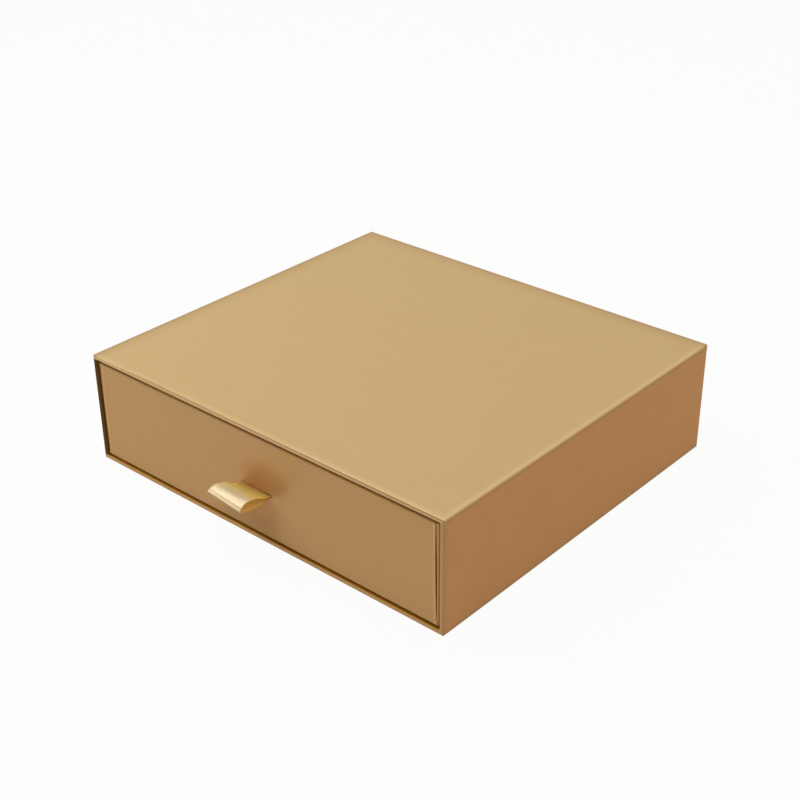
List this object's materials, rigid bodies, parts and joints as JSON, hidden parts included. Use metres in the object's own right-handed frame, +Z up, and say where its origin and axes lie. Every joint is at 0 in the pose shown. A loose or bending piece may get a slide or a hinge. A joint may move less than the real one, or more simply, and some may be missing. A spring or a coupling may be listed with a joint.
{
  "type": "sliding drawer gift box",
  "caption": "Rigid board gift box: a wrapped sleeve closed at the back, with a tray drawer that slides out on a satin ribbon loop.",
  "frame": {"origin": "centre of the sleeve's underside, on the surface that the box stands on", "axes": "+Z up, towards the top face; +Y towards the closed back, so the drawer slides out along -Y; +X to the right of someone facing the drawer"},
  "size_m": [0.28, 0.2787, 0.0737],
  "materials": {
    "gold_paper": "satin",
    "lining_paper": "matte",
    "greyboard": "matte",
    "kraft_tape": "matte",
    "satin_ribbon": "satin"
  },
  "bodies": {
    "sleeve": {"sleeve_top_board": "greyboard", "sleeve_bottom_board": "greyboard", "sleeve_left_board": "greyboard", "sleeve_right_board": "greyboard", "sleeve_back_board": "greyboard", "sleeve_stay_top_left": "kraft_tape", "sleeve_stay_top_right": "kraft_tape", "sleeve_stay_bottom_left": "kraft_tape", "sleeve_stay_bottom_right": "kraft_tape", "sleeve_wrap_paper": "gold_paper", "sleeve_back_paper": "gold_paper", "sleeve_lining_paper": "lining_paper"},
    "drawer": {"drawer_base_board": "greyboard", "drawer_front_board": "greyboard", "drawer_back_board": "greyboard", "drawer_left_board": "greyboard", "drawer_right_board": "greyboard", "drawer_stay_front_left": "kraft_tape", "drawer_stay_front_right": "kraft_tape", "drawer_stay_back_left": "kraft_tape", "drawer_stay_back_right": "kraft_tape", "drawer_wrap_paper": "gold_paper", "drawer_lining_paper": "lining_paper", "ribbon_pull": "satin_ribbon"}
  },
  "joints": [
    {"name": "drawer_slide", "type": "slide", "parent": "sleeve", "child": "drawer", "axis": [0, -1, 0], "range_m": [0, 0.24]}
  ]
}
